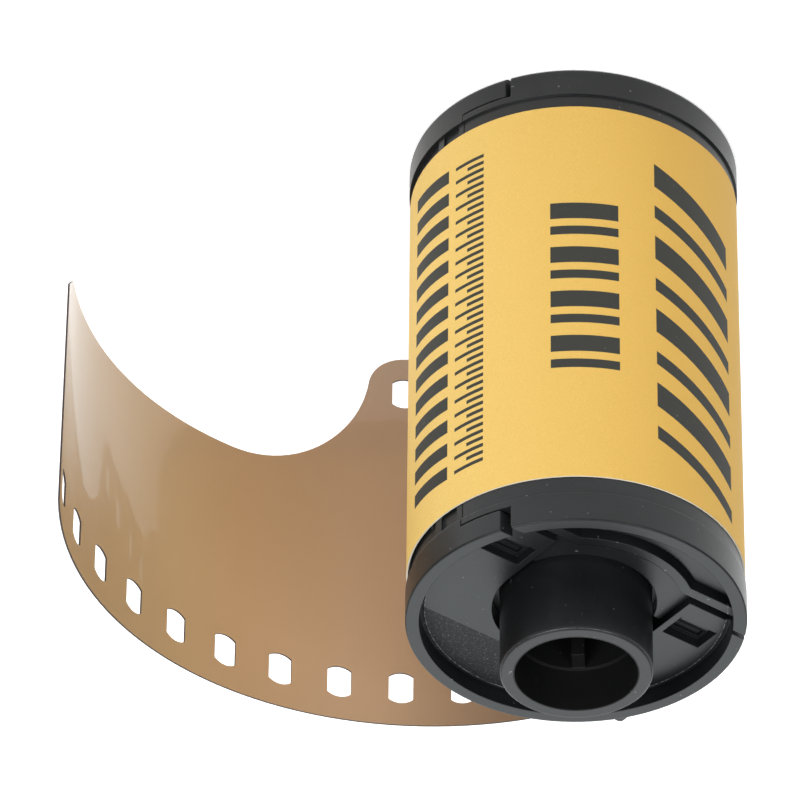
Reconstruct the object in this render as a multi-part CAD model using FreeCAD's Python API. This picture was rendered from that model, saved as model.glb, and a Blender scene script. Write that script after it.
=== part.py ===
"""A loaded 35 mm film cartridge with its leader pulled out, in millimetres.

The cartridge stands on its flat end with the long hub up. The origin is the
middle of the flat end's rim, +Z runs along the spool, and the leader curls
away to the +X side. The housing is two moulded shells: a main shell with the
end walls and the light-trap lips, and a cover that snaps onto its open side.
"""
import FreeCAD, Part

import math
import os

# Film stock
FILM_WIDTH = 34.975
FILM_THICKNESS = 0.14

# Housing
END_ROOM = 3.7475          # rim face to the film's edge, at both ends
BODY_HEIGHT = FILM_WIDTH + 2 * END_ROOM
FILM_TOP = BODY_HEIGHT - END_ROOM
FLANGE_RADIUS = 12.47
FLANGE_HEIGHT = 2.5
FLANGE_STEP = 0.17         # the barrel is this much smaller than the flange
RIM_WALL = 1.02            # thickness of the standing rim round each end face
RIM_ROUND_FLAT = 0.32      # rounded outer edge at the flat end
RIM_ROUND_HUB = 0.14       # crisper outer edge at the hub end
ROUND_STEPS = 3            # short steps in a turned corner's round
BARREL_RADIUS = FLANGE_RADIUS - FLANGE_STEP
BARREL_WALL = 1.1
RIM_DEPTH = 2.0            # depth at which the rim's inner face meets the barrel's

# Hubs
HUB_RADIUS = 5.57
HUB_CLEARANCE = 0.33       # between a hub and the hole it passes through

# End walls, all depths are counted from the rim face
HUB_HOLE_RADIUS = HUB_RADIUS + HUB_CLEARANCE
PLATE_MARGIN = 0.35        # rim to the raised disc of the main shell's end wall
PLATE_RADIUS = FLANGE_RADIUS - RIM_WALL - PLATE_MARGIN
PLATE_DEPTH = 1.25
PLATE_EDGE_DEPTH = 1.45
PLATEAU_DEPTH = 1.8        # the cover's part of the end wall
WALL_INNER_DEPTH = 2.7     # inside face of both end walls
WALL_OVERLAP = 0.3         # how far an end wall reaches into the barrel wall

# Parting of the two shells
COVER_DIRECTION = 233.5    # degrees, middle of the cover round the axis
PARTING_OFFSET = 6.2       # flat parting plane to the axis
SEAM_GAP = 0.06
LEDGE_SETBACK = 0.6        # main plate's edge stands this far behind the parting
LEDGE_DEPTH = 2.0
SKIRT_ANGLE = 79.4         # degrees, the cover's long edge past its middle
SKIRT_LAP_ANGLE = 3.0
SKIRT_BACK_ANGLE = 8.0     # how far the skirt reaches back into the cover's wall
SKIRT_END_GAP = 0.3        # degrees, between the skirt's end and the main shell
TAB_HEIGHT = 1.8           # height of the main shell's rim tab over that edge
TAB_SEAM = 0.14            # open seam along the tab
TAB_END_GAP = 0.33         # open gap between the tab's end and the cover's rim
WIDE_TAB_END_GAP = 0.7     # the same on the leader's side of the hub end
NOTCH_MARGIN = 0.24
NOTCH_HALF_WIDTH = HUB_HOLE_RADIUS + NOTCH_MARGIN    # lets the hub in sideways
JOINT_OVERLAP = 0.5        # how far joined features reach into each other
TONGUE_START = 2.2         # where the cover's tongue begins in that notch

# Light-trap rib and groove on the cover's end walls
RIB_RADIUS = 8.7
RIB_WIDTH = 0.8
RIB_SETBACK = 0.92         # parting plane to the outer face of the rib's straight arms
RIB_CHORD = PARTING_OFFSET + RIB_SETBACK
RIB_TOP_DEPTH = 1.2
GROOVE_WIDTH = 0.36
GROOVE_DEPTH = 2.35

# Snap arms of the cover and their windows in the main shell
SNAP_CENTRE = 8.35         # along the parting plane, from the middle
WINDOW_LENGTH = 3.3
WINDOW_NEAR = 1.7
WINDOW_FAR = 3.9
ARM_WIDTH = 2.6
ARM_END = 2.1
ARM_ROOT = 1.2             # how far the arm reaches into the cover's wall
ARM_TOP_DEPTH = 2.12
ARM_THICKNESS = 0.5
ARM_CLEARANCE = 0.1
NOSE_LENGTH = 0.85
NOSE_HEIGHT = 0.5

# Relief round the main shell's neck, beside the cover's long edge
NECK_RELIEF = 0.2
NECK_RELIEF_HEIGHT = 2.1
NECK_RELIEF_START = 82.2   # degrees from the cover's middle
NECK_RELIEF_END = 146.0
NECK_RIB_ANGLE = 91.7      # degrees from the middle
NECK_RIB_WIDTH_ANGLE = 3.4

# Label
LABEL_THICKNESS = 0.11
LABEL_FLAT_MARGIN = 3.68   # rim face to the label's edge at the flat end
LABEL_HUB_MARGIN = 4.0
LABEL_START_ANGLE = 149.0  # degrees about +Z
LABEL_END_ANGLE = 457.0

# Wound turns, and the leader that bends off them and then curls
ROLL_ROOM = 1.2            # wound turns to the inside of the barrel
ROLL_RADIUS = BARREL_RADIUS - BARREL_WALL - ROLL_ROOM
CORE_CLEARANCE = 0.1
BEND_RADIUS = 18.78        # outer face of the bend, as all the radii of the leader
BEND_START_ANGLE = 175.86  # degrees, where the film leaves the wound turns
CURL_RADIUS = 26.88
CURL_JOIN_ANGLE = 104.0    # degrees, where the bend runs into the curl
CURL_END_ANGLE = -1.7      # degrees, free end of the leader

# Leader tongue, lengths along the film from its free end and widths from FILM_TOP
TONGUE_WIDTH = 22.7
SWEEP_RADIUS = 11.3        # concave sweep from the tongue up to full width
SWEEP_START = 27.0         # where the straight edge of the tongue ends
CORNER_RADIUS = 2.8
TIP_CLIP = (3.0, 2.7)      # clipped corner at the free end, along and across

# Perforations
PERF_PITCH = 4.74
PERF_DIAMETER = 2.794      # across the film, and of the rounded ends
PERF_LENGTH = 1.854        # along the film, between the flat sides
PERF_INSET = 3.41          # hole centre to film edge
PERF_FIRST = 3.08          # first hole from the free end
PERF_COUNT = 12
PERF_FIRST_FAR = 8         # first hole of the short row, past the tongue

# Light-trap lips, in directions along and across the film where it leaves
LIP_NORMAL_ANGLE = 137.5   # degrees, outward across the film
LIP_REACH = 9.2            # tip of the lips along the film's way out
LIP_OUTER_WALL = 1.56      # film's outer face to the outer lip's corner
LIP_INNER_WALL = 1.39      # film's outer face to the inner lip's outside
LIP_BACK = 1.0             # inner lip's edge inside the barrel
LIP_ROUND = 0.35
LIP_ROLL_CLEARANCE = 0.35
PLUSH_THICKNESS = 0.4
PLUSH_CLEARANCE = 0.08
PLUSH_START = 9.46         # along the film, from where it leaves the wound turns
PLUSH_LENGTH = 6.23
SLOT_SIDE = 0.25           # film edge to the slot's end wall

# Spool
HUB_BORE = 4.49            # free mouth of each hub's socket
HUB_RISE = 4.58            # long hub above the rim
HUB_ROUND = 0.22
SOCKET_DEPTH = 3.6
INNER_BORE_STEP = 0.19     # the bore past the mouth is this much smaller
KEY_SETBACK = 0.1          # mouth's shoulder to the drive keys
KEY_WIDTH = 0.95
KEY_HEIGHT = 1.6
WEB_THICKNESS = 1.2
CORE_STEP = 0.18           # the core is this much larger than the hubs
CORE_RADIUS = HUB_RADIUS + CORE_STEP
SPOOL_FLANGE_RISE = 0.1    # spool flanges above the wound turns
SPOOL_FLANGE_RADIUS = ROLL_RADIUS + SPOOL_FLANGE_RISE
SPOOL_FLANGE = 0.7
SPOOL_END_PLAY = 0.15
SPOOL_TURN_ANGLE = 4.0     # how far the spool happens to be turned
CATCH_SLOT_WIDTH = 1.2     # slot in the core that holds the film's inner end
CATCH_SLOT_HEIGHT = 24.0

UP = FreeCAD.Vector(0, 0, 1)
ORIGIN = FreeCAD.Vector(0, 0, 0)
FAR = 40.0                 # reach of cutting blocks


def polar(radius, degrees):
    """A point in plan at a radius and an angle about +Z."""
    turn = math.radians(degrees)
    return FreeCAD.Vector(radius * math.cos(turn), radius * math.sin(turn), 0)


def prism(edges, low, high):
    """Extrude a closed plan outline between two heights."""
    face = Part.Face(Part.Wire(edges))
    face.translate(UP * low)
    return face.extrude(UP * (high - low))


def ring_sector(inner, outer, start, end, low, high, centre=ORIGIN):
    """A piece of a tube between two angles about a centre in plan."""
    middle = (start + end) / 2
    points = [centre + polar(outer, a) for a in (start, middle, end)]
    points += [centre + polar(inner, a) for a in (end, middle, start)]
    edges = [
        Part.Arc(*points[:3]).toShape(),
        Part.makeLine(points[2], points[3]),
        Part.Arc(*points[3:]).toShape(),
        Part.makeLine(points[5], points[0]),
    ]
    return prism(edges, low, high)


def disc(radius, top_depth, bottom_depth):
    """A disc in the hub end's wall, between two depths below the rim face."""
    base = FreeCAD.Vector(0, 0, BODY_HEIGHT - bottom_depth)
    return Part.makeCylinder(radius, bottom_depth - top_depth, base, UP)


def block(x_range, y_range, top_depth, bottom_depth):
    """A block in the hub end's wall, +X towards the cover."""
    corner = FreeCAD.Vector(x_range[0], y_range[0], BODY_HEIGHT - bottom_depth)
    length = x_range[1] - x_range[0]
    width = y_range[1] - y_range[0]
    return Part.makeBox(length, width, bottom_depth - top_depth, corner)


def both_ends(shape):
    """The hub end's feature and its mirror image at the flat end."""
    return shape.fuse(shape.mirror(UP * (BODY_HEIGHT / 2), UP))


def face_cover(shape):
    """Turn a shape drawn with the cover on +X to the cover's true direction."""
    shape.rotate(ORIGIN, UP, COVER_DIRECTION)
    return shape


def quarter_round(corner_centre, radius, start):
    """Points of a section's rounded corner, a quarter turn in a few short steps."""
    turns = [math.radians(start + 90 * i / ROUND_STEPS) for i in range(ROUND_STEPS + 1)]
    across, height = corner_centre
    return [(across + radius * math.cos(t), height + radius * math.sin(t)) for t in turns]


def turned(section):
    """Revolve a half section, given as radius and height pairs, about the axis."""
    points = [FreeCAD.Vector(r, 0, z) for r, z in section]
    return Part.Face(Part.makePolygon(points + points[:1])).revolve(ORIGIN, UP, 360)


def barrel_tube():
    """The barrel with its two rims, turned as one closed ring."""
    rim_inner = FLANGE_RADIUS - RIM_WALL
    inner = BARREL_RADIUS - BARREL_WALL
    low_centre = (FLANGE_RADIUS - RIM_ROUND_FLAT, RIM_ROUND_FLAT)
    high_centre = (FLANGE_RADIUS - RIM_ROUND_HUB, BODY_HEIGHT - RIM_ROUND_HUB)
    section = quarter_round(low_centre, RIM_ROUND_FLAT, -90)
    section += [
        (FLANGE_RADIUS, FLANGE_HEIGHT),
        (BARREL_RADIUS, FLANGE_HEIGHT),
        (BARREL_RADIUS, BODY_HEIGHT - FLANGE_HEIGHT),
        (FLANGE_RADIUS, BODY_HEIGHT - FLANGE_HEIGHT),
    ]
    section += quarter_round(high_centre, RIM_ROUND_HUB, 0)
    section += [
        (rim_inner, BODY_HEIGHT),
        (rim_inner, BODY_HEIGHT - RIM_DEPTH),
        (inner, BODY_HEIGHT - RIM_DEPTH),
        (inner, RIM_DEPTH),
        (rim_inner, RIM_DEPTH),
        (rim_inner, 0),
    ]
    return turned(section)


def skirt_start():
    """Degrees from the cover's middle to where its skirt begins, inside its own wall."""
    return math.degrees(math.acos(PARTING_OFFSET / FLANGE_RADIUS)) - SKIRT_BACK_ANGLE


def skirt(inner, outer, end_gap, top_gap):
    """The stretch of barrel wall that the cover carries past the parting plane."""
    low = TAB_HEIGHT + top_gap
    high = BODY_HEIGHT - TAB_HEIGHT - top_gap
    start = skirt_start()
    lap = BARREL_RADIUS - BARREL_WALL / 2
    outside = ring_sector(lap, outer, start, SKIRT_ANGLE + end_gap, low, high)
    inside = ring_sector(inner, lap, start, SKIRT_ANGLE - SKIRT_LAP_ANGLE + end_gap, low, high)
    return outside.fuse(inside)


def skirt_flange():
    """The flange's lower part, which the skirt carries on under the tab."""
    high = BODY_HEIGHT - TAB_HEIGHT - TAB_SEAM
    low = BODY_HEIGHT - FLANGE_HEIGHT
    lap = BARREL_RADIUS - BARREL_WALL / 2
    return ring_sector(lap, FLANGE_RADIUS, skirt_start(), SKIRT_ANGLE, low, high)


def hub_notch(half_width, top_depth, bottom_depth):
    """The U-shaped way in for the hub, open towards the cover."""
    way = block((0, PARTING_OFFSET + JOINT_OVERLAP), (-half_width, half_width), top_depth, bottom_depth)
    return disc(half_width, top_depth, bottom_depth).fuse(way)


def snap_places():
    """The two middles of the snap arms, either side of the hub."""
    return (-SNAP_CENTRE, SNAP_CENTRE)


def main_end_wall():
    """The main shell's end wall at the hub end, before its windows."""
    reach = BARREL_RADIUS - BARREL_WALL + WALL_OVERLAP
    edge = PARTING_OFFSET - LEDGE_SETBACK
    plate = disc(reach, PLATE_EDGE_DEPTH, WALL_INNER_DEPTH)
    plate = plate.fuse(disc(PLATE_RADIUS, PLATE_DEPTH, PLATE_EDGE_DEPTH))
    plate = plate.common(block((-FAR, edge), (-FAR, FAR), 0, WALL_INNER_DEPTH))
    ledge = disc(reach, LEDGE_DEPTH, WALL_INNER_DEPTH)
    ledge = ledge.common(block((0, PARTING_OFFSET), (-FAR, FAR), 0, WALL_INNER_DEPTH))
    wall = plate.fuse(ledge)
    return wall.cut(hub_notch(NOTCH_HALF_WIDTH, 0, WALL_INNER_DEPTH + 1))


def snap_pocket(centre):
    """A window in the end wall and the channel under it for one snap arm."""
    half_window = WINDOW_LENGTH / 2
    half_arm = ARM_WIDTH / 2 + ARM_CLEARANCE
    top = ARM_TOP_DEPTH - ARM_CLEARANCE
    window = block((WINDOW_NEAR, WINDOW_FAR), (centre - half_window, centre + half_window), 1, top)
    channel = block(
        (ARM_END - ARM_CLEARANCE, PARTING_OFFSET + SEAM_GAP),
        (centre - half_arm, centre + half_arm),
        top,
        WALL_INNER_DEPTH + 1,
    )
    return window.fuse(channel)


def snap_arm(centre):
    """One snap arm of the cover, with its nose standing up in the window."""
    sides = (centre - ARM_WIDTH / 2, centre + ARM_WIDTH / 2)
    arm = block(
        (ARM_END, PARTING_OFFSET + ARM_ROOT),
        sides,
        ARM_TOP_DEPTH,
        ARM_TOP_DEPTH + ARM_THICKNESS,
    )
    nose_end = WINDOW_FAR - ARM_CLEARANCE
    top = ARM_TOP_DEPTH - NOSE_HEIGHT
    level = BODY_HEIGHT - ARM_TOP_DEPTH
    profile = [
        FreeCAD.Vector(nose_end, sides[0], level),
        FreeCAD.Vector(nose_end, sides[0], BODY_HEIGHT - top),
        FreeCAD.Vector(nose_end - NOSE_LENGTH / 2, sides[0], BODY_HEIGHT - top),
        FreeCAD.Vector(nose_end - NOSE_LENGTH * 1.5, sides[0], level),
    ]
    face = Part.Face(Part.makePolygon(profile + profile[:1]))
    return arm.fuse(face.extrude(FreeCAD.Vector(0, ARM_WIDTH, 0)))


def rib_band(growth, top_depth, bottom_depth):
    """Everything on the hub's side of the rib's outer face, moved out by growth."""
    chord = block((-FAR, RIB_CHORD + growth), (-FAR, FAR), top_depth, bottom_depth)
    return disc(RIB_RADIUS + growth, top_depth, bottom_depth).fuse(chord)


def cover_end_wall():
    """The cover's end wall at the hub end, with its rib, groove and tongue."""
    reach = BARREL_RADIUS - BARREL_WALL + WALL_OVERLAP
    start = PARTING_OFFSET + SEAM_GAP
    half = block((start, FAR), (-FAR, FAR), 0, WALL_INNER_DEPTH)
    wall = disc(reach, PLATEAU_DEPTH, WALL_INNER_DEPTH).common(half)
    half_tongue = NOTCH_HALF_WIDTH - SEAM_GAP
    tongue = block(
        (TONGUE_START, start + JOINT_OVERLAP),
        (-half_tongue, half_tongue),
        PLATEAU_DEPTH,
        WALL_INNER_DEPTH,
    )
    rib = rib_band(0, RIB_TOP_DEPTH, WALL_INNER_DEPTH)
    rib = rib.cut(rib_band(-RIB_WIDTH, 0, FAR)).common(disc(reach, 0, WALL_INNER_DEPTH))
    groove = rib_band(GROOVE_WIDTH, 0, GROOVE_DEPTH).cut(rib_band(0, -1, FAR))
    wall = wall.cut(groove.common(disc(FLANGE_RADIUS - RIM_WALL, 0, GROOVE_DEPTH)))
    wall = wall.fuse([tongue, rib.common(half)])
    return wall.cut(disc(HUB_HOLE_RADIUS, 0, WALL_INNER_DEPTH + 1))


def neck_relief():
    """Shallow recess round the neck beside the seam, with one rib left in it."""
    floor = BARREL_RADIUS - NECK_RELIEF
    high = BODY_HEIGHT - FLANGE_HEIGHT
    low = high - NECK_RELIEF_HEIGHT
    half_rib = NECK_RIB_WIDTH_ANGLE / 2
    near = ring_sector(
        floor, FLANGE_RADIUS, NECK_RELIEF_START, NECK_RIB_ANGLE - half_rib, low, high
    )
    far = ring_sector(
        floor, FLANGE_RADIUS, NECK_RIB_ANGLE + half_rib, NECK_RELIEF_END, low, high
    )
    return near.fuse(far)


def tab_gap(width, sides):
    """The open gap in the rim between the tab's end and the cover."""
    rim_inner = FLANGE_RADIUS - RIM_WALL
    gap = block((PARTING_OFFSET - width, PARTING_OFFSET), sides, 0, TAB_HEIGHT)
    return gap.cut(disc(rim_inner, 0, TAB_HEIGHT))


def lip_point(along, across):
    """A plan point given along the film's way out and across it."""
    return polar(along, LIP_NORMAL_ANGLE - 90) + polar(across, LIP_NORMAL_ANGLE)


def lip_faces():
    """How far across the outsides of the inner and the outer lip stand."""
    film = bend_centre().dot(polar(1, LIP_NORMAL_ANGLE)) + BEND_RADIUS
    return film - LIP_INNER_WALL, film + LIP_OUTER_WALL


def lips():
    """Both lips as one block, before the film's slot is cut through it."""
    inner, outer = lip_faces()
    reach = math.hypot(LIP_REACH, outer)
    lean = math.degrees(math.atan2(LIP_REACH, outer))
    touch = LIP_NORMAL_ANGLE - lean + math.degrees(math.acos(BARREL_RADIUS / reach))
    outline = [
        polar(BARREL_RADIUS, touch),
        lip_point(LIP_REACH, outer),
        lip_point(LIP_REACH, inner),
        lip_point(LIP_BACK, inner),
        lip_point(LIP_BACK, ROLL_RADIUS),
        polar(ROLL_RADIUS, touch),
    ]
    face = Part.Face(Part.makePolygon(outline + outline[:1]))
    face.translate(UP * FLANGE_HEIGHT)
    body = face.extrude(UP * (BODY_HEIGHT - 2 * FLANGE_HEIGHT))
    tips = outline[1:3]
    return body.makeFillet(LIP_ROUND, [e for e in body.Edges if is_upright_at(e, tips)])


def is_upright_at(edge, corners):
    """True for a long upright edge over one of the plan corners."""
    if edge.BoundBox.ZLength < BODY_HEIGHT / 2:
        return False
    place = edge.CenterOfMass
    return any(math.hypot(place.x - c.x, place.y - c.y) < 0.01 for c in corners)


def bend_centre():
    """Centre of the bend, which touches the wound turns where the film leaves."""
    return polar(ROLL_RADIUS - BEND_RADIUS, BEND_START_ANGLE)


def curl_centre():
    """Centre of the leader's curl, which the bend runs into smoothly."""
    return bend_centre() + polar(BEND_RADIUS - CURL_RADIUS, CURL_JOIN_ANGLE)


def film_slot():
    """The curved way through the lips, one plush thickness wider each side."""
    spread = PLUSH_THICKNESS + PLUSH_CLEARANCE
    return ring_sector(
        BEND_RADIUS - FILM_THICKNESS - spread,
        BEND_RADIUS + spread,
        BEND_START_ANGLE,
        CURL_JOIN_ANGLE,
        FILM_TOP - FILM_WIDTH - SLOT_SIDE,
        FILM_TOP + SLOT_SIDE,
        bend_centre(),
    )


def make_main_shell():
    """The rear half of the housing, with both lips and most of both end walls."""
    tube = barrel_tube()
    tube = tube.cut(Part.makeBox(FAR, 2 * FAR, 2 * FAR, FreeCAD.Vector(PARTING_OFFSET, -FAR, -1)))
    walls = both_ends(main_end_wall())
    shell = tube.fuse(walls)
    inner = BARREL_RADIUS - BARREL_WALL
    shell = shell.cut(skirt(inner - SEAM_GAP, FAR, SKIRT_END_GAP, 0))
    tab_gaps = both_ends(tab_gap(TAB_END_GAP, (-FAR, FAR)))
    wide_gap = tab_gap(WIDE_TAB_END_GAP, (0, FAR))
    shell = shell.cut([both_ends(neck_relief()), tab_gaps, wide_gap])
    for centre in snap_places():
        shell = shell.cut(both_ends(snap_pocket(centre)))
    shell = face_cover(shell)
    depth = WALL_INNER_DEPTH
    room = Part.makeCylinder(
        ROLL_RADIUS + LIP_ROLL_CLEARANCE,
        BODY_HEIGHT - 2 * depth,
        UP * depth,
        UP,
    )
    return shell.fuse(lips().cut(room)).cut(film_slot()).removeSplitter()


def make_cover_shell():
    """The snap-on front cover, with its skirt, rib, tongue and snap arms."""
    start = PARTING_OFFSET + SEAM_GAP
    tube = barrel_tube()
    tube = tube.common(Part.makeBox(FAR, 2 * FAR, 2 * FAR, FreeCAD.Vector(start, -FAR, -1)))
    inner = BARREL_RADIUS - BARREL_WALL
    parts = [both_ends(cover_end_wall()), skirt(inner, BARREL_RADIUS, 0, TAB_SEAM)]
    parts.append(both_ends(skirt_flange()))
    parts += [both_ends(snap_arm(centre)) for centre in snap_places()]
    return face_cover(tube.fuse(parts)).removeSplitter()


def ring_sector_long(inner, outer, start, end, low, high):
    """A tube wall that goes more than half way round."""
    height = high - low
    gap = 360 - (end - start)
    ring = Part.makeCylinder(outer, height, UP * low, UP)
    ring = ring.cut(Part.makeCylinder(inner, height, UP * low, UP))
    return ring.cut(ring_sector(inner / 2, outer * 2, end, end + gap, low - 1, high + 1))


def make_label():
    """The paper label, wrapped round both shells between the rims."""
    return ring_sector_long(
        BARREL_RADIUS,
        BARREL_RADIUS + LABEL_THICKNESS,
        LABEL_START_ANGLE,
        LABEL_END_ANGLE,
        LABEL_FLAT_MARGIN,
        BODY_HEIGHT - LABEL_HUB_MARGIN,
    )


def make_plush(side):
    """One plush strip, on the outer (+1) or inner (-1) side of the film."""
    face = BEND_RADIUS + PLUSH_CLEARANCE
    if side < 0:
        face = BEND_RADIUS - FILM_THICKNESS - PLUSH_CLEARANCE - PLUSH_THICKNESS
    start = BEND_START_ANGLE - math.degrees(PLUSH_START / BEND_RADIUS)
    return ring_sector(
        face,
        face + PLUSH_THICKNESS,
        start - math.degrees(PLUSH_LENGTH / BEND_RADIUS),
        start,
        FILM_TOP - FILM_WIDTH - SLOT_SIDE,
        FILM_TOP + SLOT_SIDE,
        bend_centre(),
    )


def arc_edge(centre, radius, start, end):
    """An arc in plan from one angle to another, either way round."""
    angles = (start, (start + end) / 2, end)
    return Part.Arc(*[centre + polar(radius, a) for a in angles]).toShape()


def film_plan():
    """Outline in plan of the whole film: the wound turns and the leader."""
    bend, curl = bend_centre(), curl_centre()
    inner_bend = BEND_RADIUS - FILM_THICKNESS
    inner_curl = CURL_RADIUS - FILM_THICKNESS
    offset = BEND_RADIUS - ROLL_RADIUS
    swing = (inner_bend ** 2 - offset ** 2 - ROLL_RADIUS ** 2) / (2 * ROLL_RADIUS * offset)
    rejoin = BEND_START_ANGLE - math.degrees(math.acos(swing))
    corner = polar(ROLL_RADIUS, rejoin) - bend
    start = math.degrees(math.atan2(corner.y, corner.x)) % 360
    opposite = BEND_START_ANGLE + 180
    tip = [curl + polar(r, CURL_END_ANGLE) for r in (inner_curl, CURL_RADIUS)]
    return [
        arc_edge(ORIGIN, ROLL_RADIUS, BEND_START_ANGLE, opposite),
        arc_edge(ORIGIN, ROLL_RADIUS, opposite, rejoin + 360),
        arc_edge(bend, inner_bend, start, CURL_JOIN_ANGLE),
        arc_edge(curl, inner_curl, CURL_JOIN_ANGLE, CURL_END_ANGLE),
        Part.makeLine(*tip),
        arc_edge(curl, CURL_RADIUS, CURL_END_ANGLE, CURL_JOIN_ANGLE),
        arc_edge(bend, BEND_RADIUS, CURL_JOIN_ANGLE, BEND_START_ANGLE),
    ]


def film_station(length):
    """Centre, radius and angle of the film's outer face at a length from its end."""
    curl_length = math.radians(CURL_JOIN_ANGLE - CURL_END_ANGLE) * CURL_RADIUS
    if length <= curl_length:
        turn = CURL_END_ANGLE + math.degrees(length / CURL_RADIUS)
        return curl_centre(), CURL_RADIUS, turn
    turn = CURL_JOIN_ANGLE + math.degrees((length - curl_length) / BEND_RADIUS)
    return bend_centre(), BEND_RADIUS, turn


def film_place(shape, length):
    """Turn a cutter drawn along +X to point outward through the film."""
    centre, radius, turn = film_station(length)
    shape.rotate(ORIGIN, UP, turn)
    shape.translate(centre + polar(radius, turn))
    return shape


def perforation(length, width):
    """One hole: a round hole with two flat sides."""
    depth = 1.0
    out = FreeCAD.Vector(1, 0, 0)
    level = FILM_TOP - width
    start = FreeCAD.Vector(-depth, 0, level)
    hole = Part.makeCylinder(PERF_DIAMETER / 2, 2 * depth, start, out)
    corner = FreeCAD.Vector(-depth, -PERF_LENGTH / 2, level - PERF_DIAMETER)
    flats = Part.makeBox(2 * depth, PERF_LENGTH, 2 * PERF_DIAMETER, corner)
    return film_place(hole.common(flats), length)


def perforations():
    """The long row near the hub end and the short row past the tongue."""
    holes = []
    for index in range(PERF_COUNT):
        length = PERF_FIRST + index * PERF_PITCH
        holes.append(perforation(length, PERF_INSET))
        if index >= PERF_FIRST_FAR:
            holes.append(perforation(length, FILM_WIDTH - PERF_INSET))
    return holes


def outline_cutter(edges, length):
    """Push a flat outline, drawn round one length of the film, through it."""
    depth = CURL_RADIUS / 4
    face = Part.Face(Part.Wire(edges))
    face.translate(FreeCAD.Vector(-depth, 0, 0))
    return film_place(face.extrude(FreeCAD.Vector(2 * depth, 0, 0)), length)


def sweep_cutter():
    """What the concave sweep and the rounded corner take off the film."""
    sweep_width = TONGUE_WIDTH + SWEEP_RADIUS
    corner_width = FILM_WIDTH - CORNER_RADIUS
    rise = corner_width - sweep_width
    reach = math.sqrt((SWEEP_RADIUS + CORNER_RADIUS) ** 2 - rise ** 2)
    middle = SWEEP_START + reach / 2
    touch = math.degrees(math.atan2(rise, reach))

    def flat(along, width):
        return FreeCAD.Vector(0, along, FILM_TOP - width)

    def arc(along, width, radius, start, end):
        turns = [math.radians(a) for a in (start, (start + end) / 2, end)]
        points = [
            flat(along + radius * math.cos(t), width + radius * math.sin(t))
            for t in turns
        ]
        return Part.Arc(*points).toShape(), points

    sweep, sweep_points = arc(-reach / 2, sweep_width, SWEEP_RADIUS, -90, touch)
    corner, corner_points = arc(reach / 2, corner_width, CORNER_RADIUS, 180 + touch, 90)
    outside = [
        corner_points[-1],
        flat(reach / 2, FILM_WIDTH + 1),
        flat(-reach / 2, FILM_WIDTH + 1),
        sweep_points[0],
    ]
    edges = [sweep, corner] + [Part.makeLine(a, b) for a, b in zip(outside, outside[1:])]
    return outline_cutter(edges, middle)


def tongue_cutter():
    """What the straight part of the tongue lacks of the full width."""
    return ring_sector(
        CURL_RADIUS - 2,
        CURL_RADIUS + 2,
        CURL_END_ANGLE - 2,
        film_station(SWEEP_START)[2],
        FILM_TOP - FILM_WIDTH - 1,
        FILM_TOP - TONGUE_WIDTH,
        curl_centre(),
    )


def tip_cutter():
    """The clipped corner at the free end of the tongue."""
    along, across = TIP_CLIP
    level = FILM_TOP - TONGUE_WIDTH
    points = [
        FreeCAD.Vector(0, 2 * along, level - across),
        FreeCAD.Vector(0, -along, level - across),
        FreeCAD.Vector(0, -along, level + 2 * across),
    ]
    sides = zip(points, points[1:] + points[:1])
    return outline_cutter([Part.makeLine(a, b) for a, b in sides], 0)


def make_film():
    """The film: its wound turns and the leader as one piece."""
    low = FILM_TOP - FILM_WIDTH
    film = prism(film_plan(), low, FILM_TOP)
    bore = Part.makeCylinder(CORE_RADIUS + CORE_CLEARANCE, FILM_WIDTH, UP * low, UP)
    return film.cut([bore, sweep_cutter(), tongue_cutter(), tip_cutter()] + perforations())


def spool_section():
    """Half section of the spool's outside, from the short hub up."""
    low_flange = WALL_INNER_DEPTH + SPOOL_END_PLAY
    high_flange = BODY_HEIGHT - low_flange
    top = BODY_HEIGHT + HUB_RISE
    section = [
        (0, 0),
        (HUB_RADIUS, 0),
        (HUB_RADIUS, low_flange),
        (SPOOL_FLANGE_RADIUS, low_flange),
        (SPOOL_FLANGE_RADIUS, low_flange + SPOOL_FLANGE),
        (CORE_RADIUS, low_flange + SPOOL_FLANGE),
        (CORE_RADIUS, high_flange - SPOOL_FLANGE),
        (SPOOL_FLANGE_RADIUS, high_flange - SPOOL_FLANGE),
        (SPOOL_FLANGE_RADIUS, high_flange),
        (HUB_RADIUS, high_flange),
    ]
    section += quarter_round((HUB_RADIUS - HUB_ROUND, top - HUB_ROUND), HUB_ROUND, 0)
    return section + [(0, top)]


def cylinder_between(radius, first, last):
    """An upright cylinder on the axis between two heights, in either order."""
    return Part.makeCylinder(radius, abs(last - first), UP * min(first, last), UP)


def socket(web_face, mouth):
    """One hub's socket: a free mouth, then a narrower bore with two drive keys."""
    way = math.copysign(1, mouth - web_face)
    shoulder = mouth - way * SOCKET_DEPTH
    key_end = shoulder - way * KEY_SETBACK
    inner_bore = HUB_BORE - INNER_BORE_STEP
    bore = cylinder_between(inner_bore, web_face, shoulder)
    keys = Part.makeBox(
        KEY_WIDTH,
        2 * HUB_RADIUS,
        abs(key_end - web_face),
        FreeCAD.Vector(-KEY_WIDTH / 2, -HUB_RADIUS, min(key_end, web_face)),
    )
    keys = keys.cut(cylinder_between(inner_bore - KEY_HEIGHT, web_face, key_end))
    return bore.cut(keys).fuse(cylinder_between(HUB_BORE, shoulder, mouth))


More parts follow.
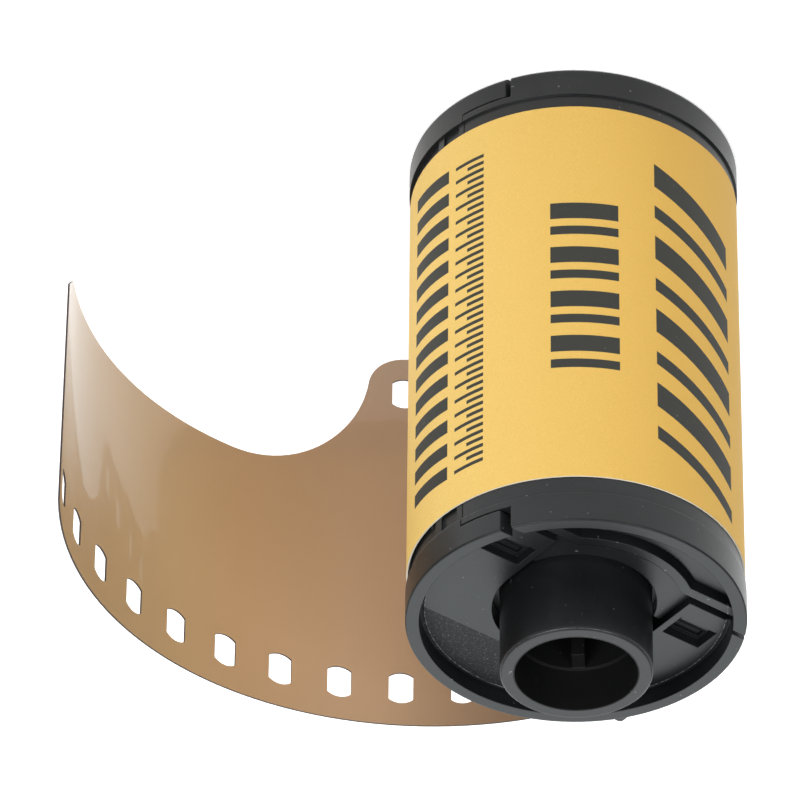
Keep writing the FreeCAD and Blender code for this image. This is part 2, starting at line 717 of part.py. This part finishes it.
def make_spool():
    """The spool, moulded in one piece: core, flanges, long hub and short hub."""
    web = (BODY_HEIGHT - WEB_THICKNESS) / 2
    body = turned(spool_section())
    body = body.cut(socket(web + WEB_THICKNESS, BODY_HEIGHT + HUB_RISE))
    body = body.cut(socket(web, 0))
    slot = Part.makeBox(
        HUB_RADIUS,
        CATCH_SLOT_WIDTH,
        CATCH_SLOT_HEIGHT,
        FreeCAD.Vector(
            HUB_BORE - KEY_HEIGHT / 2,
            -CATCH_SLOT_WIDTH / 2,
            (BODY_HEIGHT - CATCH_SLOT_HEIGHT) / 2,
        ),
    )
    body = body.cut(slot)
    body.rotate(ORIGIN, UP, SPOOL_TURN_ANGLE)
    return body


def main():
    """Build every piece and write one file for each."""
    os.makedirs("parts", exist_ok=True)
    pieces = {
        "main_shell": make_main_shell(),
        "cover_shell": make_cover_shell(),
        "label": make_label(),
        "plush_strip_outer": make_plush(1),
        "plush_strip_inner": make_plush(-1),
        "spool": make_spool(),
        "film": make_film(),
    }
    for name, shape in pieces.items():
        solids = shape.Solids
        print(name, "solids", len(solids), "valid", shape.isValid(), "volume", round(shape.Volume, 2))
        whole = solids[0] if len(solids) == 1 else shape
        whole.exportStep("parts/" + name + ".step")


main()
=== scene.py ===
"""Looks of the loaded 35 mm film cartridge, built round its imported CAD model, in metres.

The cartridge stands on its flat end with the long hub up. The photograph was
taken from above the hub end with the picture turned half a turn, so the
camera is rolled and the long hub points down in the picture.
"""
import math

import bpy
from mathutils import Matrix, Vector

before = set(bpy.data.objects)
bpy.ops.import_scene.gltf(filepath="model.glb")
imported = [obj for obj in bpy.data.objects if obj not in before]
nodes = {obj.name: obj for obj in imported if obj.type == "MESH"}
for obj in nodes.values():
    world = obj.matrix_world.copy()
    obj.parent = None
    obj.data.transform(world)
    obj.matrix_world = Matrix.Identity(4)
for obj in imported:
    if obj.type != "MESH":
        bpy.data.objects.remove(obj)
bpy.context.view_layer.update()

MM = 0.001

# Camera, in millimetres and pixels of the photograph
PICTURE = 800
SENSOR = 36.0
FOCAL_PIXELS = 7403.4
PRINCIPAL_POINT = (414.8, 401.0)
CAMERA_PLACE = (11.906, -434.161, 362.33)
CAMERA_RIGHT = (-0.99995, -0.00624, -0.00796)
CAMERA_UP = (0.01011, -0.61681, -0.78705)

# Sizes repeated from the CAD, in millimetres and degrees
BARREL_RADIUS = 12.3
CURL_CENTRE = (10.72, -8.49)
MM_PER_DEGREE = math.radians(BARREL_RADIUS)
FULL_TURN = 360.0
LABEL_START_ANGLE = 148.0    # just before the label's first edge
PLATE_TOP = 42.0             # above the end plate and below the rim's face
PLATE_REACH = 11.5           # radius that the end plate lies within
BORE_RADIUS = 4.6            # radius that the hub's bore lies within
PATCH_START = 6.5            # axis to the end plate's coarse patch
PATCH_DIRECTION = (0.595, 0.804)
NO_PATCH = 60.0              # a start past the whole part, for a piece without the patch

# Round edges with a painted highlight, a pale broken line where light catches them: radius from
# and to, height from and to, in millimetres
HIGHLIGHT_RINGS = ((11.02, 11.11, 41.1, 41.35), (5.50, 5.6, 46.95, 47.2))

# Painted shade on the film beside the lips, where the cartridge shades it: x from and to, height
# from and to, in millimetres
SHADED_X = (4.0, 14.0)
SHADED_HEIGHT = (24.0, 37.0)

# Colours along the film from the lips to the leader's tip, with painted light and shade: darker
# near the lips, paler with a painted sheen towards the tip: x in millimetres, then the colour
FILM_LIT_COLOURS = (
    (4.0, (0.33, 0.212, 0.135, 1.0)),
    (10.0, (0.39, 0.255, 0.160, 1.0)),
    (17.0, (0.455, 0.300, 0.190, 1.0)),
    (25.0, (0.485, 0.308, 0.174, 1.0)),
    (32.0, (0.525, 0.360, 0.192, 1.0)),
)

# Colours round the label, painted light and shade: paler yellow where light falls, deeper where
# it is shaded: degrees about the axis, then the colour
LABEL_LIT_COLOURS = (
    (235.0, (0.708, 0.430, 0.090, 1.0)),
    (280.0, (0.750, 0.488, 0.124, 1.0)),
    (325.0, (0.860, 0.595, 0.180, 1.0)),
)

# Printed rows of plain slanted bars on the label: degrees about the axis from and to, then
# heights from and to in millimetres, pitch of the bars, their thickness, and their lean
PRINT_ROWS = (
    (320.0, 342.5, 6.4, 36.0, 2.15, 1.2, 0.10),
    (304.0, 316.5, 6.6, 36.0, 1.30, 0.32, 0.0),
    (304.0, 311.0, 7.25, 35.7, 1.30, 0.32, 0.0),
    (256.0, 279.5, 13.0, 29.3, 4.17, 1.5, 0.0),
    (256.0, 279.5, 15.2, 29.3, 4.17, 0.8, 0.0),
    (205.0, 242.5, 11.4, 37.9, 6.9, 2.2, 0.42),
    (205.0, 242.5, 15.4, 37.9, 6.9, 1.2, 0.42),
)

# How fine each surface's marks are, as noise scales per metre
MOULD_GRAIN = 9000.0
MOULD_CLOUD = 160.0
DUST = 2600.0
BROKEN_HIGHLIGHT = 4200.0
PLATE_GLINTS = 7500.0
VELVET_HAIR = 6000.0
LABEL_SPECK = 11000.0
LABEL_WEAVE = 7000.0
INK_FLECKS = 3800.0

# Depths of that grain and the softness of moulded edges, in metres
FINE_DEPTH = 0.02 * MM
COARSE_DEPTH = 0.09 * MM
HAIR_DEPTH = 0.2 * MM
EDGE_SOFTNESS = 0.12 * MM

# Floor and light
FLOOR_SIZE = 6.0
FLOOR_COLOUR = (0.86, 0.86, 0.86, 1.0)
FLOOR_GLOW = 0.45
WORLD_STRENGTH = 0.20
MIDDLE = (0.005, 0.0, 0.022)    # where the lamps look


class Shader:
    """Builds one material's nodes with short calls."""

    def __init__(self, name):
        self.material = bpy.data.materials.new(name)
        self.material.use_nodes = True
        self.tree = self.material.node_tree
        self.surface = self.tree.nodes["Principled BSDF"]

    def node(self, kind, **values):
        """A node, with its properties and input values set by name."""
        made = self.tree.nodes.new(kind)
        for key, value in values.items():
            if hasattr(made, key):
                setattr(made, key, value)
            else:
                self.put(made.inputs[key.replace("_", " ")], value)
        return made

    def put(self, socket, value):
        """Give a socket a number or colour, or link another node's output to it."""
        if isinstance(value, bpy.types.NodeSocket):
            self.tree.links.new(value, socket)
        else:
            socket.default_value = value

    def math(self, operation, first, second=0.0, third=0.0):
        made = self.tree.nodes.new("ShaderNodeMath")
        made.operation = operation
        for socket, value in zip(made.inputs, (first, second, third)):
            self.put(socket, value)
        return made.outputs[0]

    def place(self):
        """Coordinates of the part in metres, as x, y and z outputs."""
        coordinates = self.node("ShaderNodeTexCoord")
        split = self.tree.nodes.new("ShaderNodeSeparateXYZ")
        self.put(split.inputs[0], coordinates.outputs["Object"])
        return coordinates.outputs["Object"], split.outputs

    def noise(self, coordinates, scale, detail=2.0, roughness=0.5):
        made = self.node("ShaderNodeTexNoise")
        self.put(made.inputs["Vector"], coordinates)
        self.put(made.inputs["Scale"], scale)
        self.put(made.inputs["Detail"], detail)
        self.put(made.inputs["Roughness"], roughness)
        return made.outputs["Fac"]

    def ramp(self, factor, low, high, first, last):
        """Map a factor between two limits to a number between two others."""
        made = self.tree.nodes.new("ShaderNodeMapRange")
        made.clamp = True
        for socket, value in zip(made.inputs, (factor, low, high, first, last)):
            self.put(socket, value)
        return made.outputs[0]

    def mix(self, factor, first, second):
        """Blend two colours."""
        made = self.tree.nodes.new("ShaderNodeMix")
        made.data_type = "RGBA"
        for index, value in ((0, factor), (6, first), (7, second)):
            self.put(made.inputs[index], value)
        return made.outputs[2]

    def fade(self, value, stops, unit):
        """Blend along a value through the colours of a list of stops."""
        blend = stops[0][1]
        for (start, _), (end, colour) in zip(stops, stops[1:]):
            blend = self.mix(self.ramp(value, start * unit, end * unit, 0.0, 1.0), blend, colour)
        return blend

    def bump(self, height, distance, strength=1.0, normal=None):
        made = self.tree.nodes.new("ShaderNodeBump")
        self.put(made.inputs["Strength"], strength)
        self.put(made.inputs["Distance"], distance)
        self.put(made.inputs["Height"], height)
        if normal is not None:
            self.put(made.inputs["Normal"], normal)
        return made.outputs[0]

    def dot(self, a, b, c, d):
        """a times b plus c times d."""
        return self.math("ADD", self.math("MULTIPLY", a, b), self.math("MULTIPLY", c, d))

    def inside(self, value, low, high):
        """One between two limits, none outside."""
        return self.math(
            "MULTIPLY",
            self.math("GREATER_THAN", value, low),
            self.math("LESS_THAN", value, high),
        )

    def normal(self):
        """The surface's normal in the part's own frame, as x, y and z outputs."""
        coordinates = self.node("ShaderNodeTexCoord")
        split = self.tree.nodes.new("ShaderNodeSeparateXYZ")
        self.put(split.inputs[0], coordinates.outputs["Normal"])
        return split.outputs

    def finish(self, **inputs):
        """Set the surface's inputs by name and give back the material."""
        for key, value in inputs.items():
            self.put(self.surface.inputs[key.replace("_", " ")], value)
        return self.material


def wear(material, *names):
    """Put a material on CAD nodes."""
    for name in names:
        slots = nodes[name].data.materials
        slots.clear()
        slots.append(material)


# Materials
def painted_highlight_rings(s, reach, z):
    """One on the round edges that get a painted highlight, none elsewhere."""
    mask = 0.0
    for inner, outer, low, high in HIGHLIGHT_RINGS:
        ring = s.inside(reach, inner * MM, outer * MM)
        ring = s.math("MULTIPLY", ring, s.inside(z, low * MM, high * MM))
        mask = s.math("MAXIMUM", mask, ring)
    return mask


def coarse_patch(s, place, reach, start):
    """One on the end plate past a line that lies start millimetres from the axis."""
    x, y, z = place
    _, _, upward = s.normal()
    flat = s.math("GREATER_THAN", upward, 0.9)
    plate = s.math("MULTIPLY", flat, s.math("LESS_THAN", z, PLATE_TOP * MM))
    plate = s.math("MULTIPLY", plate, s.math("LESS_THAN", reach, PLATE_REACH * MM))
    across = s.dot(x, PATCH_DIRECTION[0], y, PATCH_DIRECTION[1])
    return s.math("MULTIPLY", plate, s.math("GREATER_THAN", across, start * MM))


def moulded_plastic(name, base, patch_start, highlight_strength):
    """Black plastic from a spark-eroded mould, with soft edges and a little dust.

    The end plate is coarser and duller in its patch, with painted glints on its grit, and a
    hub's bore is duller than its outside and darkened with painted shade. Round edges get a
    painted highlight of highlight_strength.
    """
    s = Shader(name)
    where, (x, y, z) = s.place()
    reach = s.math("SQRT", s.dot(x, x, y, y))
    patch = coarse_patch(s, (x, y, z), reach, patch_start)
    bore = s.math("LESS_THAN", reach, BORE_RADIUS * MM)
    cloud = s.noise(where, MOULD_CLOUD, 2.0)
    dark = [c * 0.8 for c in base] + [1.0]
    light = [c * 1.3 for c in base] + [1.0]
    colour = s.mix(s.ramp(cloud, 0.3, 0.7, 0.0, 1.0), dark, light)
    # Painted shade: the hub's bore is darkened nearly to black, where shade falls in the hole
    colour = s.mix(s.math("MULTIPLY", bore, 0.7), colour, (0.002, 0.002, 0.002, 1.0))
    # Painted highlight: a pale broken line on round edges where light catches them
    broken = s.ramp(s.noise(where, BROKEN_HIGHLIGHT, 2.0), 0.42, 0.6, 0.1, highlight_strength)
    edge_highlight = s.math("MULTIPLY", painted_highlight_rings(s, reach, z), broken)
    # Painted glints: pale specks on the coarse patch where its grain catches light
    glints = s.ramp(s.noise(where, PLATE_GLINTS, 2.0), 0.58, 0.72, 0.0, 0.35)
    dust = s.ramp(s.noise(where, DUST, 1.0), 0.77, 0.80, 0.0, 0.5)
    painted_highlights = s.math("MAXIMUM", edge_highlight, s.math("MULTIPLY", patch, glints))
    # Pale grey for painted highlights and glints, and for real dust
    colour = s.mix(s.math("MAXIMUM", painted_highlights, dust), colour, (0.28, 0.29, 0.30, 1.0))
    dull = s.math("MULTIPLY", s.math("MAXIMUM", patch, bore), 0.28)
    soft = s.node("ShaderNodeBevel", samples=6, Radius=EDGE_SOFTNESS).outputs[0]
    depth = s.ramp(patch, 0.0, 1.0, FINE_DEPTH, COARSE_DEPTH)
    return s.finish(
        Base_Color=colour,
        Roughness=s.math("ADD", s.ramp(cloud, 0.3, 0.7, 0.28, 0.34), dull),
        Specular_IOR_Level=0.27,
        Normal=s.bump(s.noise(where, MOULD_GRAIN, 3.0, 0.6), depth, 0.6, soft),
    )


def film_base():
    """Film: tan emulsion inside the curl with painted light and shade along it, glossy dark base
    outside, dark cut edges.
    """
    s = Shader("film_base")
    _, (x, y, z) = s.place()
    outward_x = s.math("SUBTRACT", x, CURL_CENTRE[0] * MM)
    outward_y = s.math("SUBTRACT", y, CURL_CENTRE[1] * MM)
    normal_x, normal_y, _ = s.normal()
    facing = s.dot(outward_x, normal_x, outward_y, normal_y)
    reach = s.math("SQRT", s.dot(outward_x, outward_x, outward_y, outward_y))
    facing = s.math("DIVIDE", facing, reach)
    # Painted light and shade: the tan fades along the film, with a painted sheen at the leader's
    # tip
    tan = s.fade(x, FILM_LIT_COLOURS, MM)
    # Painted shade: the film is darkened beside the lips and high up, where the cartridge shades
    # it
    beside = s.ramp(x, SHADED_X[0] * MM, SHADED_X[1] * MM, 0.8, 0.0)
    above = s.ramp(z, SHADED_HEIGHT[0] * MM, SHADED_HEIGHT[1] * MM, 0.0, 1.0)
    painted_shade = s.math("MULTIPLY", beside, above)
    tan = s.mix(painted_shade, tan, (0.17, 0.105, 0.06, 1.0))
    edge = (0.035, 0.021, 0.019, 1.0)
    back = (0.055, 0.038, 0.036, 1.0)
    inner = s.ramp(facing, -0.6, -0.4, 1.0, 0.0)
    outer = s.ramp(facing, 0.4, 0.6, 0.0, 1.0)
    colour = s.mix(outer, s.mix(inner, edge, tan), back)
    gloss = s.ramp(outer, 0.0, 1.0, s.ramp(inner, 0.0, 1.0, 0.7, 0.32), 0.16)
    return s.finish(
        Base_Color=colour,
        Roughness=gloss,
        IOR=1.5,
        Coat_Weight=s.math("MULTIPLY", inner, 0.5),
        Coat_Roughness=0.04,
    )


def pile():
    """Black velvet of the light-trap strips."""
    s = Shader("plush")
    where, _ = s.place()
    hair = s.noise(where, VELVET_HAIR, 2.0)
    colour = s.mix(hair, (0.006, 0.006, 0.007, 1.0), (0.02, 0.02, 0.021, 1.0))
    return s.finish(
        Base_Color=colour, Roughness=0.95, Sheen_Weight=0.5, Normal=s.bump(hair, HAIR_DEPTH)
    )


def label_print():
    """Golden yellow label, paler and deeper round its face with painted light and shade, with a
    fine speckle, plain dark bars and a pale cut edge.
    """
    s = Shader("label_paper")
    where, (x, y, z) = s.place()
    turn = s.math("DIVIDE", s.math("ARCTAN2", y, x), math.radians(1.0))
    before = s.math("LESS_THAN", turn, LABEL_START_ANGLE)
    turn = s.math("ADD", turn, s.math("MULTIPLY", before, FULL_TURN))
    up = s.math("DIVIDE", z, MM)
    # Painted light and shade: the yellow goes paler and deeper round the label
    yellow = s.fade(turn, LABEL_LIT_COLOURS, 1.0)
    speck = s.ramp(s.noise(where, LABEL_SPECK, 1.0, 0.6), 0.35, 0.65, 0.0, 0.22)
    yellow = s.mix(speck, yellow, (0.50, 0.29, 0.05, 1.0))
    mask = 0.0
    for start, end, low, high, pitch, thickness, lean in PRINT_ROWS:
        across = s.math("MULTIPLY", s.math("SUBTRACT", turn, start), MM_PER_DEGREE * lean)
        rise = s.math("SUBTRACT", s.math("ADD", up, across), low)
        bars = s.math("LESS_THAN", s.math("MODULO", rise, pitch), thickness)
        row = s.math("MULTIPLY", s.inside(turn, start, end), s.inside(rise, 0.0, high - low))
        mask = s.math("MAXIMUM", mask, s.math("MULTIPLY", row, bars))
    flecks = s.ramp(s.noise(where, INK_FLECKS, 1.0), 0.76, 0.80, 0.0, 0.5)
    ink = s.mix(flecks, (0.033, 0.034, 0.029, 1.0), (0.22, 0.20, 0.16, 1.0))
    colour = s.mix(mask, yellow, ink)
    _, _, upward = s.normal()
    cut_edge = s.math("GREATER_THAN", s.math("ABSOLUTE", upward), 0.7)
    colour = s.mix(cut_edge, colour, (0.80, 0.74, 0.62, 1.0))
    weave = s.noise(where, LABEL_WEAVE, 1.0)
    return s.finish(
        Base_Color=colour,
        Roughness=0.65,
        Specular_IOR_Level=0.25,
        Normal=s.bump(weave, FINE_DEPTH, 0.5),
    )


shell = moulded_plastic("shell_plastic", (0.0105, 0.0115, 0.0123), PATCH_START, 0.75)
hub = moulded_plastic("spool_plastic", (0.0105, 0.011, 0.0118), NO_PATCH, 0.25)
wear(shell, "main_shell", "cover_shell")
wear(hub, "spool")
wear(label_print(), "label")
wear(pile(), "plush_strip_outer", "plush_strip_inner")
wear(film_base(), "film")


# Floor, light and camera
def stage_floor():
    """A wide pale floor that shows white to the camera and keeps the shadow."""
    bpy.ops.mesh.primitive_plane_add(size=FLOOR_SIZE, location=(0, 0, 0))
    floor = bpy.context.object
    floor.name = "floor"
    material = bpy.data.materials.new("floor")
    material.use_nodes = True
    tree = material.node_tree
    tree.nodes.clear()
    paper = tree.nodes.new("ShaderNodeBsdfDiffuse")
    paper.inputs[0].default_value = FLOOR_COLOUR
    glow = tree.nodes.new("ShaderNodeEmission")
    path = tree.nodes.new("ShaderNodeLightPath")
    seen = tree.nodes.new("ShaderNodeMath")
    seen.operation = "MAXIMUM"
    tree.links.new(path.outputs["Is Camera Ray"], seen.inputs[0])
    tree.links.new(path.outputs["Is Glossy Ray"], seen.inputs[1])
    power = tree.nodes.new("ShaderNodeMath")
    power.operation = "MULTIPLY"
    tree.links.new(seen.outputs[0], power.inputs[0])
    power.inputs[1].default_value = FLOOR_GLOW
    tree.links.new(power.outputs[0], glow.inputs["Strength"])
    both = tree.nodes.new("ShaderNodeAddShader")
    tree.links.new(paper.outputs[0], both.inputs[0])
    tree.links.new(glow.outputs[0], both.inputs[1])
    out = tree.nodes.new("ShaderNodeOutputMaterial")
    tree.links.new(both.outputs[0], out.inputs[0])
    floor.data.materials.append(material)


def softbox(name, place, size, power, colour=(1.0, 1.0, 1.0)):
    """A square area lamp that looks at the object's middle."""
    data = bpy.data.lights.new(name, "AREA")
    data.shape = "SQUARE"
    data.size = size
    data.energy = power
    data.color = colour
    lamp = bpy.data.objects.new(name, data)
    bpy.context.scene.collection.objects.link(lamp)
    lamp.location = place
    lamp.rotation_euler = (Vector(MIDDLE) - Vector(place)).to_track_quat("-Z", "Y").to_euler()


def make_camera():
    """The photograph's camera, turned half a turn about its view."""
    right = Vector(CAMERA_RIGHT).normalized()
    up = Vector(CAMERA_UP)
    up = (up - right * up.dot(right)).normalized()
    back = right.cross(up)
    data = bpy.data.cameras.new("camera")
    data.sensor_width = SENSOR
    data.lens = FOCAL_PIXELS * SENSOR / PICTURE
    data.shift_x = (PICTURE / 2 - PRINCIPAL_POINT[0]) / PICTURE
    data.shift_y = (PRINCIPAL_POINT[1] - PICTURE / 2) / PICTURE
    data.clip_start = 0.01
    data.clip_end = 20.0
    camera = bpy.data.objects.new("camera", data)
    bpy.context.scene.collection.objects.link(camera)
    turn = Matrix((right, up, back)).transposed().to_4x4()
    camera.matrix_world = Matrix.Translation(Vector(CAMERA_PLACE) * MM) @ turn
    bpy.context.scene.camera = camera


def set_world(strength):
    world = bpy.data.worlds.new("studio")
    bpy.context.scene.world = world
    world.use_nodes = True
    world.node_tree.nodes["Background"].inputs[0].default_value = (1.0, 1.0, 1.0, 1.0)
    world.node_tree.nodes["Background"].inputs[1].default_value = strength


stage_floor()
set_world(WORLD_STRENGTH)
softbox("key", (0.36, -0.45, 0.62), 0.5, 5.05)
softbox("fill", (-0.34, -0.36, 0.64), 0.5, 2.9)
softbox("back", (0.0, 0.60, 0.50), 0.8, 4.8, (0.93, 0.98, 1.0))
make_camera()
bpy.context.scene.view_settings.view_transform = "Standard"
